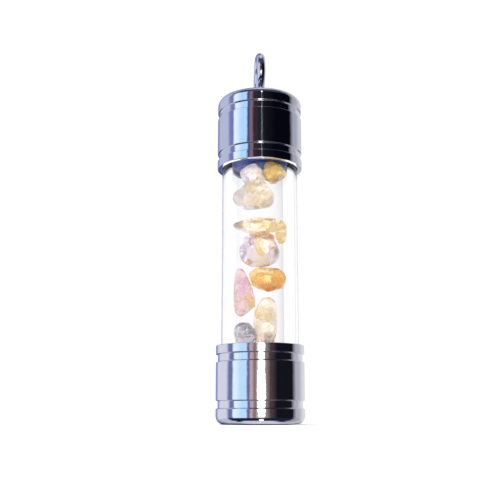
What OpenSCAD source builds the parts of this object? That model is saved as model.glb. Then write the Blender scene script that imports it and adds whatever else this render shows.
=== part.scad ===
// Screw-capped glass sample vial with turned metal end caps, a swivelling hanging eye
// and ten polished stone chips sealed inside.
// Origin: centre of the base face. +Z points up along the vial.

/* [Glass vial] */
// Outer diameter of the glass
glass_od = 12; // [10:0.5:24]
// Wall thickness of the glass
glass_wall = 1.5; // [0.8:0.1:2]
// Length of the glass, end to end
glass_len = 40; // [32:1:80]
// Thickness of the closed glass floor
glass_floor = 1.5; // [0.8:0.1:3]

/* [End caps] */
// Thickness of the cap wall over the glass
cap_wall = 0.7; // [0.6:0.05:2]
// Length of each cap, rim to end face
cap_len = 11.85; // [10.5:0.05:18]
// Depth that the glass reaches into each cap
socket_depth = 5.85; // [4:0.05:6.5]
// Radius of the rounded outer end of each cap
cap_end_round = 1.2; // [0.2:0.1:1.6]
// Width of each turned groove
groove_w = 1.17; // [0.5:0.01:1.5]
// Depth of each turned groove
groove_depth = 0.3; // [0.1:0.05:0.4]
// Plain band between the rim and its groove
rim_band = 1.35; // [0.6:0.05:2]
// Plain band between the end face and its groove
end_band = 2.35; // [1.7:0.05:3]
// Thickness of the top cap's end wall
cap_roof = 1.3; // [0.8:0.1:2]

/* [Screw thread] */
// Outer diameter of the thread
thread_d = 7; // [5:0.5:14]
// Rise of the thread in one turn
thread_pitch = 1; // [0.75:0.25:1.25]
// Height of the bushing's flange over the glass mouth
bushing_flange = 1; // [0.6:0.1:2]
// Thickness of the sealing gasket
gasket_t = 0.8; // [0.4:0.1:1.5]

/* [Hanging eye] */
// Diameter of the eye's wire
eye_wire_d = 1.44; // [0.8:0.02:2]
// Diameter of the ring, measured along the wire's centre
eye_ring_d = 5.8; // [4:0.1:10]
// Height of the stem between the cap and the ring
eye_stem = 1; // [0.7:0.1:3]
// Diameter of the threaded shank
eye_shank_d = 2; // [1.6:0.1:2.2]
// Turn of the ring about the vial's axis at rest, in degrees
eye_turn = 5.4; // [-90:0.1:90]

/* [Fits] */
// Thickness of every adhesive film
bond_t = 0.1; // [0.05:0.01:0.2]
// Gap between the top cap's skirt and the glass
skirt_gap = 0.1; // [0.05:0.01:0.2]
// Gap between the two halves of the screw thread
thread_gap = 0.08; // [0.06:0.01:0.12]
// Gap around the shank in the roof
swivel_gap = 0.05; // [0.03:0.01:0.1]
// Gap between a stone and the glass
stone_gap = 0.1; // [0.05:0.05:0.3]

/* [Hidden] */

$fn = 96;
overcut = 1;
chamfer = 0.12;

// Radii that follow from the glass and the cap wall.
glass_r = glass_od / 2;
bore_r = glass_r - glass_wall;
cap_bore_r = glass_r + skirt_gap;
cap_r = cap_bore_r + cap_wall;
bushing_r = bore_r - bond_t;

// Heights, counted up from the base face.
glass_z = cap_len - socket_depth;
floor_z = glass_z + glass_floor;
glass_top_z = glass_z + glass_len;
rim_z = glass_top_z - socket_depth;
end_z = rim_z + cap_len;
roof_z = end_z - cap_roof;
flange_top_z = glass_top_z + bushing_flange;
head_z = flange_top_z + gasket_t;

// The pad under the glass and the recess of the adhesive below the bottom rim.
pad_t = 0.8;
bond_setback = 0.5;

// The bushing's lower face stands a little above the top cap's rim.
bushing_setback = 0.4;
bushing_z = rim_z + bushing_setback;

// Thread proportions: a ridge over a solid core, and the same ridge cut larger into the bushing.
thread_r = thread_d / 2;
thread_depth = 0.55 * thread_pitch;
core_r = thread_r - thread_depth;
thread_bore_r = core_r + thread_gap;
ridge_half_root = 0.37 * thread_pitch;
ridge_half_crest = 0.14 * thread_pitch;
ridge_sink = 0.1;
steps_per_turn = 24;

// The eye, its collar on the cap and its fastening inside the plug's pocket.
wire_r = eye_wire_d / 2;
ring_r = eye_ring_d / 2;
ring_z = end_z + eye_stem + wire_r + ring_r;
shank_r = eye_shank_d / 2;
collar_r = shank_r + 0.6;
collar_t = 0.4;
end_play = 0.05;
washer_r = shank_r + 1;
washer_t = 0.3;
nut_af = 2 * eye_shank_d;
nut_t = 0.8 * eye_shank_d;
nut_corner_r = nut_af / 2 / cos(30);
washer_z = roof_z - end_play - washer_t;
nut_z = washer_z - nut_t;
shank_z = nut_z - 0.2;
pocket_z = shank_z - 0.3;
pocket_r = max(washer_r, nut_corner_r) + 0.25;

gasket_in_r = thread_r + 0.15;
gasket_out_r = glass_r - 0.3;

// A plain ring between two radii, from z up over the height h.
module ring(r_out, r_in, z, h) {
    translate([0, 0, z])
        difference() {
            cylinder(r = r_out, h = h);
            translate([0, 0, -overcut])
                cylinder(r = r_in, h = h + 2 * overcut);
        }
}

// Half outline of a turned cap, rim down at y = 0, with a rounded end and two grooves.
module cap_outline() {
    difference() {
        union() {
            translate([0, chamfer])
                square([cap_r, cap_len - cap_end_round - chamfer]);
            square([cap_r - cap_end_round, cap_len]);
            polygon([[0, 0], [cap_r - chamfer, 0], [cap_r, chamfer], [0, chamfer]]);
            translate([cap_r - cap_end_round, cap_len - cap_end_round])
                intersection() {
                    circle(r = cap_end_round);
                    square(cap_end_round);
                }
        }
        groove_outline(rim_band);
        groove_outline(cap_len - end_band - groove_w);
    }
}

// One groove: flat floor and slightly flared walls, cut into the cap's outline.
module groove_outline(from_rim) {
    translate([cap_r - groove_depth, from_rim])
        polygon([
            [0, chamfer / 2],
            [groove_depth + overcut, -chamfer / 2],
            [groove_depth + overcut, groove_w + chamfer / 2],
            [0, groove_w - chamfer / 2]
        ]);
}

// A turned cap with its socket, rim down at z = 0. The end wall is end_wall thick.
module cap_shell(end_wall) {
    difference() {
        rotate_extrude()
            cap_outline();
        translate([0, 0, -overcut])
            cylinder(r = cap_bore_r, h = cap_len - end_wall + overcut);
    }
}

// A right-hand helical ridge about the Z axis. Its middle starts at the height z_first at angle 0
// and rises to z_last. It runs from the radius r_root out to r_crest, and half_root and
// half_crest are its half widths there.
module helix_ridge(r_root, r_crest, half_root, half_crest, z_first, z_last) {
    profile = [[r_root, -half_root], [r_crest, -half_crest], [r_crest, half_crest], [r_root, half_root]];
    sides = len(profile);
    rings = floor((z_last - z_first) / thread_pitch * steps_per_turn);
    points = [
        for (i = [0:rings], p = profile)
            let (turn = 360 * i / steps_per_turn)
            [p[0] * cos(turn), p[0] * sin(turn), z_first + p[1] + thread_pitch * i / steps_per_turn]
    ];
    walls = [
        for (i = [0:rings - 1], k = [0:sides - 1])
            let (a = i * sides + k, b = i * sides + (k + 1) % sides)
            each [[a, b, a + sides], [b, b + sides, a + sides]]
    ];
    start_face = [[0, 2, 1], [0, 3, 2]];
    last = rings * sides;
    end_face = [[last, last + 1, last + 2], [last, last + 2, last + 3]];
    polyhedron(points = points, faces = concat(start_face, walls, end_face), convexity = 10);
}

module bottom_cap() {
    color([0.80, 0.83, 0.90])
        translate([0, 0, cap_len])
            mirror([0, 0, 1])
                cap_shell(glass_z - pad_t);
}

module base_pad() {
    color([0.93, 0.91, 0.86])
        translate([0, 0, glass_z - pad_t])
            cylinder(r = cap_bore_r - bond_t, h = pad_t);
}

module bottom_bond() {
    color([0.95, 0.93, 0.80, 0.7])
        ring(cap_bore_r, glass_r, glass_z, socket_depth - bond_setback);
}

module glass_vial() {
    color([0.90, 0.93, 1.00, 0.3])
        translate([0, 0, glass_z])
            difference() {
                cylinder(r = glass_r, h = glass_len);
                translate([0, 0, glass_floor])
                    cylinder(r = bore_r, h = glass_len);
            }
}

module neck_bushing() {
    color([0.24, 0.28, 0.50])
        difference() {
            union() {
                translate([0, 0, bushing_z])
                    cylinder(r = bushing_r, h = flange_top_z - bushing_z);
                translate([0, 0, glass_top_z])
                    cylinder(r = glass_r, h = bushing_flange);
            }
            translate([0, 0, bushing_z - overcut])
                cylinder(r = thread_bore_r, h = flange_top_z - bushing_z + 2 * overcut);
            helix_ridge(
                core_r - thread_gap, thread_r + thread_gap,
                ridge_half_root + thread_gap, ridge_half_crest + thread_gap,
                bushing_z - thread_pitch, flange_top_z + thread_pitch
            );
        }
}

module bushing_bond() {
    color([0.95, 0.93, 0.80, 0.7])
        ring(bore_r, bushing_r, bushing_z, glass_top_z - bushing_z);
}

module cap_gasket() {
    color([0.20, 0.20, 0.22])
        ring(gasket_out_r, gasket_in_r, flange_top_z, gasket_t);
}

module top_cap() {
    color([0.80, 0.83, 0.90])
        difference() {
            translate([0, 0, rim_z])
                cap_shell(cap_roof);
            translate([0, 0, roof_z - overcut])
                cylinder(r = shank_r + swivel_gap, h = cap_roof + 2 * overcut);
        }
}

module cap_plug() {
    color([0.24, 0.28, 0.50])
        difference() {
            union() {
                translate([0, 0, head_z])
                    cylinder(r = cap_bore_r, h = roof_z - head_z);
                translate([0, 0, bushing_z])
                    cylinder(r = core_r, h = head_z - bushing_z);
                helix_ridge(
                    core_r - ridge_sink, thread_r,
                    ridge_half_root, ridge_half_crest,
                    bushing_z + thread_pitch, flange_top_z
                );
            }
            translate([0, 0, pocket_z])
                cylinder(r = pocket_r, h = roof_z - pocket_z + overcut);
        }
}

module hanging_eye() {
    color([0.82, 0.84, 0.88]) {
        translate([0, 0, ring_z])
            rotate([90, 0, eye_turn + 90])
                rotate_extrude()
                    translate([ring_r, 0])
                        circle(r = wire_r, $fn = 48);
        translate([0, 0, end_z])
            cylinder(r = wire_r, h = eye_stem + wire_r);
        translate([0, 0, end_z])
            cylinder(r = collar_r, h = collar_t);
        translate([0, 0, shank_z])
            cylinder(r = shank_r, h = end_z - shank_z);
    }
}

module eye_washer() {
    color([0.78, 0.70, 0.45])
        ring(washer_r, shank_r, washer_z, washer_t);
}

module eye_nut() {
    color([0.78, 0.70, 0.45])
        translate([0, 0, nut_z])
            difference() {
                cylinder(r = nut_corner_r, h = nut_t, $fn = 6);
                translate([0, 0, -overcut])
                    cylinder(r = shank_r, h = nut_t + 2 * overcut);
            }
}

// Each stone is a list of lobes [x, y, z, r]. They are drawn for a bore of stone_bore_r and
// a filled height of stone_fill_h over the glass floor, and follow the real bore and height.
stone_bore_r = 4.5;
stone_fill_h = 33.05;
STONES = [
    [[3.2, -0.3, 31.9, 1.05], [1.3, -3.3, 32.2, 0.75], [2.6, -2.4, 32.1, 0.8], [1.95, -1.6, 31.0, 1.2]],
    [[-0.9, -3.4, 32.2, 0.7], [-0.3, 0.6, 31.6, 1.25], [-1.7, 0.9, 31.5, 1.3], [-1.9, -1.9, 31.6, 1.1]],
    [
        [-2.75, -0.8, 27.5, 1.5], [0.8, -0.9, 27.5, 1.55], [-0.1, -2.0, 29.2, 1.3],
        [-1.0, -1.0, 28.9, 1.3], [-1.0, 1.3, 28.1, 1.7]
    ],
    [
        [-3.9, -0.5, 23.3, 0.45], [-1.2, -1.0, 23.6, 0.9], [1.4, -1.0, 23.75, 0.85],
        [3.2, -0.5, 23.2, 0.9], [-1.9, 1.45, 23.25, 0.8]
    ],
    [
        [-1.4, -0.2, 19.1, 1.95], [0.4, -0.2, 20.3, 2.05], [1.1, -0.2, 18.9, 2.05],
        [-1.0, -0.2, 18.6, 1.9], [0.2, 0.8, 19.3, 2.1]
    ],
    [[-0.2, -0.3, 15.1, 1.5], [2.45, -0.3, 14.6, 1.7], [1.4, -0.4, 14.4, 1.75], [-0.4, 0.9, 15.1, 1.4]],
    [[-3.3, -0.5, 15.4, 0.95], [-3.15, -0.4, 12.7, 1.15], [-2.1, -0.3, 11.4, 1.4], [-3.25, -0.4, 9.75, 1.0]],
    [[1.1, -0.4, 10.2, 1.7], [0.7, -0.2, 8.4, 1.85], [0.7, 0.5, 6.2, 1.75], [0.8, 0.6, 5.0, 1.4]],
    [[-2.55, -1.0, 6.4, 1.5], [-1.6, -1.9, 5.8, 1.25], [-2.5, -0.4, 5.0, 1.4]],
    [[1.4, -0.6, 1.8, 1.65], [-1.2, 0.8, 1.8, 1.65], [0.6, 1.2, 1.9, 1.5], [-1.6, -1.0, 1.7, 1.5]]
];
STONE_COLOURS = [
    [0.88, 0.66, 0.28], [0.93, 0.87, 0.86], [0.92, 0.84, 0.76], [0.96, 0.86, 0.52], [0.93, 0.84, 0.78],
    [0.93, 0.62, 0.24], [0.85, 0.66, 0.68], [0.90, 0.84, 0.74], [0.74, 0.71, 0.74], [0.90, 0.82, 0.68]
];
stone_scale_r = (bore_r - stone_gap) / (stone_bore_r - 0.1);
stone_scale_h = (bushing_z - floor_z) / stone_fill_h;

// The convex body round some of a stone's lobes.
module lobe_hull(lobes) {
    hull()
        for (p = lobes)
            translate([p[0], p[1], p[2]])
                sphere(r = p[3], $fn = 20);
}

// One stone of the column. The fourth has a drooping end of its own.
module stone(i) {
    lobes = STONES[i - 1];
    droop = [[3.45, -0.1, 22.4, 0.93], [3.45, -0.1, 21.25, 0.93]];
    color(STONE_COLOURS[i - 1])
        translate([0, 0, floor_z])
            scale([stone_scale_r, stone_scale_r, stone_scale_h])
                if (i == 4) {
                    union() {
                        lobe_hull(lobes);
                        lobe_hull(concat([lobes[3]], droop));
                    }
                } else {
                    lobe_hull(lobes);
                }
}

bottom_cap();
base_pad();
bottom_bond();
glass_vial();
neck_bushing();
bushing_bond();
cap_gasket();
top_cap();
cap_plug();
hanging_eye();
eye_washer();
eye_nut();
stone(1);  // stone_1
stone(2);  // stone_2
stone(3);  // stone_3
stone(4);  // stone_4
stone(5);  // stone_5
stone(6);  // stone_6
stone(7);  // stone_7
stone(8);  // stone_8
stone(9);  // stone_9
stone(10);  // stone_10
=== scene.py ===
"""Looks of a slim glass sample vial: turned plated caps, a swivelling hanging eye and polished quartz chips.

All sizes are in metres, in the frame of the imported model: +Z is up and the base face is at z = 0.
"""

import logging
import math
from dataclasses import dataclass, field
from enum import Enum

import bpy
import numpy as np
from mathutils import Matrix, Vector


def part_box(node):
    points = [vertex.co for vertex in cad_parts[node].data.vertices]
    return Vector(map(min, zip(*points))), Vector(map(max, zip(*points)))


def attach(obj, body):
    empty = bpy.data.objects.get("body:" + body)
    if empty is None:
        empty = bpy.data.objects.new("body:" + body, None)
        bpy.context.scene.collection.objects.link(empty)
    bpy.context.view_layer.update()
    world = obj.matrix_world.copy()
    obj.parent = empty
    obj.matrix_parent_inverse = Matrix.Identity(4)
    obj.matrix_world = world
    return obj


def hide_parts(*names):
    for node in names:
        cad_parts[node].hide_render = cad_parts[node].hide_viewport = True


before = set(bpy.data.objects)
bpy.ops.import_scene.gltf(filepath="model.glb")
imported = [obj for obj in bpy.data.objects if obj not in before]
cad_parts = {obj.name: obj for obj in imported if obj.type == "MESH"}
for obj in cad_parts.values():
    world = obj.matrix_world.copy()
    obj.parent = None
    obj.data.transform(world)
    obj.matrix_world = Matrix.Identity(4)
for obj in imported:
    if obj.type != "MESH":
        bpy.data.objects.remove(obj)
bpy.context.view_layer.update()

MM = 0.001
GLASS_WALL = 1.5 * MM
EYE_HOLE_RADIUS = 1.05 * MM
EYE_TOP_OVER_CENTRE = 3.62 * MM

log = logging.getLogger("sample_vial")


class Body(Enum):
    """The bodies that the modelled pieces ride on."""

    VIAL = "vial"
    CAP = "cap"
    EYE = "eye"


# --------------------------------------------------------------------------- shapes


@dataclass(frozen=True)
class Corner:
    """One corner of a turned profile: a point in the radius and height plane, and its rounding."""

    radius: float
    height: float
    round: float = 0.0


def rounded_profile(corners: list[Corner], closed: bool, arc_steps: int = 7) -> np.ndarray:
    """Turns corners into a profile with true arcs, and holds each straight stretch with end points.

    An arc of radius r touches both sides of a corner at r * tan(a / 2), where a is the turn of the
    path there. A point 2 % of a millimetre inside each end of a straight stretch keeps its shading flat.

    Args:
        corners: the corners in order, with the solid on the left of the path.
        closed: whether the path comes back to its first corner.
        arc_steps: points along each rounded corner.

    Returns:
        An array of (radius, height) rows.
    """
    points = np.array([(c.radius, c.height) for c in corners])
    rows: list[np.ndarray] = []
    for i, corner in enumerate(corners):
        here = points[i]
        at_end = not closed and i in (0, len(corners) - 1)
        if at_end or corner.round <= 0:
            rows.append(here[None, :])
            continue
        before = points[i - 1] - here
        after = points[(i + 1) % len(corners)] - here
        before = before / np.linalg.norm(before)
        after = after / np.linalg.norm(after)
        half = 0.5 * math.acos(float(np.clip(before @ after, -1, 1)))
        reach = corner.round / math.tan(half)
        middle = before + after
        centre = here + middle / np.linalg.norm(middle) * corner.round / math.sin(half)
        start, stop = here + before * reach - centre, here + after * reach - centre
        first, last = math.atan2(start[1], start[0]), math.atan2(stop[1], stop[0])
        turn = (last - first + math.pi) % (2 * math.pi) - math.pi
        angles = first + turn * np.linspace(0, 1, arc_steps)
        rows.append(centre + corner.round * np.stack([np.cos(angles), np.sin(angles)], axis=1))
    path = np.concatenate(rows)
    return hold_straights(path, closed)


def hold_straights(path: np.ndarray, closed: bool, inset: float = 0.02 * MM) -> np.ndarray:
    """Adds a point just inside each end of every straight stretch that is long enough.

    Args:
        path: (radius, height) rows.
        closed: whether the last row joins the first.
        inset: distance of the added points from the ends.

    Returns:
        The longer path.
    """
    ends = np.roll(path, -1, axis=0) if closed else path[1:]
    starts = path if closed else path[:-1]
    rows: list[np.ndarray] = []
    for start, end in zip(starts, ends):
        rows.append(start[None, :])
        length = float(np.linalg.norm(end - start))
        if length > 5 * inset:
            step = (end - start) / length * inset
            rows.append(np.stack([start + step, end - step]))
    if not closed:
        rows.append(path[-1:])
    return np.concatenate(rows)


def skin_faces(rings: int, around: int, wraps: bool) -> np.ndarray:
    """Quads between neighbouring rings of a grid of points.

    Args:
        rings: number of rings.
        around: points on each ring, which closes on itself.
        wraps: whether the last ring joins the first.

    Returns:
        An array of quads as vertex numbers.
    """
    rows = np.arange(rings if wraps else rings - 1)
    i, j = np.meshgrid(rows, np.arange(around), indexing="ij")
    above, beside = (i + 1) % rings, (j + 1) % around
    quads = np.stack([i * around + j, i * around + beside, above * around + beside, above * around + j])
    return quads.reshape(4, -1).T


class Skin:
    """Vertices and faces of one or more closed surfaces that make a single piece."""

    def __init__(self) -> None:
        """Starts with no surface."""
        self.points: list[np.ndarray] = []
        self.quads: list[np.ndarray] = []
        self.fans: list[np.ndarray] = []
        self.count = 0

    def add_rings(self, grid: np.ndarray, wraps: bool = False) -> None:
        """Adds a skin over a grid of points, closed round each ring and at both ends.

        Args:
            grid: array of shape (rings, around, 3). Unless it wraps, the first and last rings
                are single points, which become poles.
            wraps: whether the last ring joins the first, as on a torus.
        """
        rings, around = grid.shape[:2]
        if wraps:
            self.points.append(grid.reshape(-1, 3))
            self.quads.append(skin_faces(rings, around, True) + self.count)
            self.count += rings * around
            return
        body = grid[1:-1]
        self.points.append(body.reshape(-1, 3))
        self.points.append(np.stack([grid[0, 0], grid[-1, 0]]))
        self.quads.append(skin_faces(rings - 2, around, False) + self.count)
        low = self.count + (rings - 2) * around
        j = np.arange(around)
        beside = (j + 1) % around
        last_ring = self.count + (rings - 3) * around
        self.fans.append(np.stack([np.full(around, low), self.count + beside, self.count + j], axis=1))
        self.fans.append(np.stack([np.full(around, low + 1), last_ring + j, last_ring + beside], axis=1))
        self.count = low + 2

    def build(self, name: str) -> bpy.types.Object:
        """Makes the Blender object, at the origin, smooth shaded.

        Args:
            name: the object's name.

        Returns:
            The new object.
        """
        faces = [quad for block in self.quads for quad in block.tolist()]
        faces += [fan for block in self.fans for fan in block.tolist()]
        mesh = bpy.data.meshes.new(name)
        mesh.from_pydata(np.concatenate(self.points).tolist(), [], faces)
        mesh.polygons.foreach_set("use_smooth", np.ones(len(mesh.polygons), bool))
        mesh.validate()
        mesh.update()
        piece = bpy.data.objects.new(name, mesh)
        bpy.context.scene.collection.objects.link(piece)
        return piece


def revolve(path: np.ndarray, around: int = 256) -> np.ndarray:
    """Carries a profile round the Z axis: x = r cos a, y = r sin a, z = height.

    Args:
        path: (radius, height) rows.
        around: steps round the axis.

    Returns:
        A grid of shape (rows, around, 3).
    """
    angle = np.linspace(0, 2 * np.pi, around, endpoint=False)
    radius, height = path[:, :1], path[:, 1:]
    flat = np.zeros((1, around))
    return np.stack([radius * np.cos(angle), radius * np.sin(angle), height + flat], axis=2)


def sphere_directions(rows: int, around: int) -> np.ndarray:
    """Unit directions from the lower pole to the upper: (sin p cos a, sin p sin a, -cos p).

    Args:
        rows: steps of the polar angle p, both poles included.
        around: steps of the angle a round the axis.

    Returns:
        A grid of shape (rows, around, 3).
    """
    polar = np.linspace(0, np.pi, rows)[:, None]
    angle = np.linspace(0, 2 * np.pi, around, endpoint=False)[None, :]
    return np.stack([
        np.sin(polar) * np.cos(angle), np.sin(polar) * np.sin(angle), -np.cos(polar) + 0 * angle,
    ], axis=2)


def node_points(node: str) -> np.ndarray:
    """The vertices of a CAD node, in metres, as an array of rows."""
    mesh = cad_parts[node].data
    flat = np.empty(len(mesh.vertices) * 3)
    mesh.vertices.foreach_get("co", flat)
    return np.unique(flat.reshape(-1, 3).round(7), axis=0)


# --------------------------------------------------------------------------- shader tools


class Graph:
    """Adds nodes to one node tree and joins them."""

    def __init__(self, tree: bpy.types.NodeTree) -> None:
        """Takes the tree that the nodes go into."""
        self.tree = tree

    def add(self, kind: str, sockets: dict | None = None, **settings) -> bpy.types.Node:
        """Adds one node.

        Args:
            kind: Blender's name of the node type.
            sockets: input name or number, to a value or to the output socket that feeds it.
            **settings: attributes of the node.

        Returns:
            The new node.
        """
        node = self.tree.nodes.new(kind)
        for name, value in settings.items():
            setattr(node, name, value)
        for key, value in (sockets or {}).items():
            if isinstance(value, bpy.types.NodeSocket):
                self.tree.links.new(value, node.inputs[key])
            else:
                node.inputs[key].default_value = value
        return node

    def math(self, operation: str, *values) -> bpy.types.NodeSocket:
        """A Math node's output, for the operation on up to three values or sockets."""
        return self.add("ShaderNodeMath", dict(enumerate(values)), operation=operation).outputs[0]

    def remap(
        self, value, low: float, high: float, to_low: float = 0, to_high: float = 1
    ) -> bpy.types.NodeSocket:
        """Maps low..high smoothly onto to_low..to_high, clamped."""
        sockets = {"Value": value, "From Min": low, "From Max": high, "To Min": to_low, "To Max": to_high}
        return self.add("ShaderNodeMapRange", sockets, interpolation_type="SMOOTHSTEP").outputs[0]

    def vector(self, operation: str, *values, output: int | str = 0) -> bpy.types.NodeSocket:
        """A Vector Math node's output, for the operation on one or two values or sockets."""
        node = self.add("ShaderNodeVectorMath", dict(enumerate(values)), operation=operation)
        return node.outputs[output]

    def bump(self, height, strength: float, distance: float, **extra) -> bpy.types.NodeSocket:
        """A normal that is dented by the height, over another normal if one is given."""
        sockets = {"Height": height, "Strength": strength, "Distance": distance, **extra}
        return self.add("ShaderNodeBump", sockets).outputs[0]

    def mix(self, factor, first, second) -> bpy.types.NodeSocket:
        """A colour between the first and the second by the factor."""
        node = self.add("ShaderNodeMix", {0: factor, 6: first, 7: second}, data_type="RGBA")
        return node.outputs[2]

    def noise(self, place, scale: float, detail: float = 2, rough: float = 0.5) -> bpy.types.NodeSocket:
        """A noise value between 0 and 1 at the given place."""
        sockets = {"Vector": place, "Scale": scale, "Detail": detail, "Roughness": rough}
        return self.add("ShaderNodeTexNoise", sockets).outputs[0]


def colour(rgb: tuple[float, float, float]) -> tuple[float, float, float, float]:
    """The colour with full alpha."""
    return (*rgb, 1.0)


def new_group(name: str, inputs: dict, outputs: dict[str, str]) -> tuple[bpy.types.NodeTree, Graph]:
    """Makes a shader node group with named sockets.

    Args:
        name: the group's name.
        inputs: socket name to its default, a number or a colour.
        outputs: socket name to its socket type.

    Returns:
        The group and a graph to fill it with.
    """
    group = bpy.data.node_groups.new(name, "ShaderNodeTree")
    for label, default in inputs.items():
        kind = "NodeSocketColor" if isinstance(default, tuple) else "NodeSocketFloat"
        socket = group.interface.new_socket(label, in_out="INPUT", socket_type=kind)
        socket.default_value = default
    for label, kind in outputs.items():
        group.interface.new_socket(label, in_out="OUTPUT", socket_type=kind)
    return group, Graph(group)


def millimetres(graph: Graph) -> bpy.types.NodeSocket:
    """Object coordinates counted in millimetres."""
    place = graph.add("ShaderNodeTexCoord").outputs["Object"]
    return graph.vector("MULTIPLY", place, (1000, 1000, 1000))


class SharedEffects:
    """The node groups that several finishes use, each built once."""

    def __init__(self) -> None:
        """Builds the groups."""
        self.turned = self._turned_marks()
        self.handled = self._handling_marks()
        self.quartz = self._quartz_body()

    @staticmethod
    def _turned_marks() -> bpy.types.NodeTree:
        """Fine lathe marks: noise that changes along Z and hardly at all round the axis."""
        inputs = {"Pitch": 9.0, "Drift": 0.15}
        group, graph = new_group("turned marks", inputs, {"Height": "NodeSocketFloat"})
        given = graph.add("NodeGroupInput").outputs
        axes = graph.add("ShaderNodeSeparateXYZ", {0: millimetres(graph)}).outputs
        across = graph.math("MULTIPLY", axes[0], given["Drift"])
        along = graph.math("MULTIPLY", axes[2], given["Pitch"])
        depth = graph.math("MULTIPLY", axes[1], given["Drift"])
        place = graph.add("ShaderNodeCombineXYZ", {0: across, 1: depth, 2: along}).outputs[0]
        height = graph.noise(place, 1.0, detail=4, rough=0.65)
        graph.add("NodeGroupOutput", {"Height": height})
        return group

    @staticmethod
    def _handling_marks() -> bpy.types.NodeTree:
        """Roughness of a handled, polished surface: a low base, soft smears and a few hairline rubs."""
        inputs = {"Base": 0.04, "Smear": 0.06, "Rub": 0.1}
        group, graph = new_group("handling marks", inputs, {"Roughness": "NodeSocketFloat"})
        given = graph.add("NodeGroupInput").outputs
        place = millimetres(graph)
        cloud = graph.remap(graph.noise(place, 0.35, detail=3), 0.5, 0.75)
        stretched = graph.add("ShaderNodeMapping", {
            "Vector": place, "Rotation": (0.5, 0.3, 0.9), "Scale": (7, 0.3, 0.5)})
        hairline = graph.remap(graph.noise(stretched.outputs[0], 1.4, detail=2), 0.69, 0.75)
        smear = graph.math("MULTIPLY", cloud, given["Smear"])
        rub = graph.math("MULTIPLY", hairline, given["Rub"])
        total = graph.math("ADD", given["Base"], graph.math("ADD", smear, rub))
        graph.add("NodeGroupOutput", {"Roughness": total})
        return group

    @staticmethod
    def _quartz_body() -> bpy.types.NodeTree:
        """Colour of a quartz chip: a pale body, a deep zone, milky veils, golden patches and rusty veins."""
        inputs = {
            "Zone": 0.5, "Pale": (0.9, 0.9, 0.9, 1.0), "Deep": (0.8, 0.5, 0.2, 1.0),
            "Milk": (0.9, 0.9, 0.9, 1.0), "Fleck": (0.8, 0.6, 0.2, 1.0), "Vein": (0.6, 0.3, 0.1, 1.0),
            "Veil": 0.4, "Flecks": 0.3, "Veins": 0.3,
        }
        outputs = {"Colour": "NodeSocketColor", "Milkiness": "NodeSocketFloat", "Height": "NodeSocketFloat"}
        group, graph = new_group("quartz body", inputs, outputs)
        given = graph.add("NodeGroupInput").outputs
        place = millimetres(graph)
        drift = graph.add("ShaderNodeTexNoise", {"Vector": place, "Scale": 0.5, "Detail": 2.0}).outputs[1]
        swirl = graph.vector("ADD", place, drift)
        patch = graph.noise(swirl, 0.6, detail=3)
        wander = graph.math("MULTIPLY_ADD", patch, 1.2, -0.6)
        zone = graph.remap(graph.math("ADD", given["Zone"], wander), 0.2, 0.8)
        body = graph.mix(zone, given["Pale"], given["Deep"])
        gold = graph.remap(graph.noise(swirl, 1.1, detail=5, rough=0.62), 0.46, 0.64)
        cluster = graph.remap(graph.noise(place, 0.42, detail=1), 0.42, 0.60)
        flecks = graph.math("MULTIPLY", graph.math("MULTIPLY", gold, cluster), given["Flecks"])
        flecked = graph.mix(flecks, body, given["Fleck"])
        ridge = graph.math("ABSOLUTE", graph.math("SUBTRACT", graph.noise(swirl, 0.7, detail=3), 0.5))
        veins = graph.math("MULTIPLY", graph.remap(ridge, 0.030, 0.006), given["Veins"])
        veined = graph.mix(veins, flecked, given["Vein"])
        veil = graph.remap(graph.noise(swirl, 1.4, detail=5, rough=0.6), 0.48, 0.66)
        milk = graph.math("MULTIPLY", veil, given["Veil"])
        final = graph.mix(milk, veined, given["Milk"])
        facets = graph.add("ShaderNodeTexVoronoi", {"Vector": swirl, "Scale": 0.8, "Smoothness": 0.25},
                           feature="SMOOTH_F1").outputs["Distance"]
        height = graph.math("MULTIPLY_ADD", graph.noise(place, 2.4, detail=4), 0.12, facets)
        graph.add("NodeGroupOutput", {"Colour": final, "Milkiness": milk, "Height": height})
        return group


def new_material(name: str) -> tuple[bpy.types.Material, Graph, bpy.types.Node]:
    """Makes a material with one Principled surface.

    Args:
        name: the material's name.

    Returns:
        The material, a graph to fill it with and its Principled node.
    """
    material = bpy.data.materials.new(name)
    material.use_nodes = True
    shader = material.node_tree.nodes["Principled BSDF"]
    return material, Graph(material.node_tree), shader


def let_light_through(graph: Graph, shader: bpy.types.Node, tint: tuple[float, float, float]) -> None:
    """Lets shadow and diffuse rays go straight through a clear material, and keeps the rest refracted.

    Args:
        graph: the material's graph.
        shader: its Principled node.
        tint: the colour that the straight light takes on.
    """
    clear = graph.add("ShaderNodeBsdfTransparent", {"Color": colour(tint)})
    rays = graph.add("ShaderNodeLightPath")
    straight = graph.math("MAXIMUM", rays.outputs["Is Shadow Ray"], rays.outputs["Is Diffuse Ray"])
    blend = graph.add("ShaderNodeMixShader", {0: straight, 1: shader.outputs[0], 2: clear.outputs[0]})
    output = graph.tree.nodes["Material Output"]
    graph.tree.links.new(blend.outputs[0], output.inputs["Surface"])


def set_inputs(graph: Graph, node: bpy.types.Node, values: dict) -> None:
    """Sets or links the named inputs of a node that is already in the tree."""
    for key, value in values.items():
        if isinstance(value, bpy.types.NodeSocket):
            graph.tree.links.new(value, node.inputs[key])
        else:
            node.inputs[key].default_value = value


# --------------------------------------------------------------------------- finishes


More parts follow.
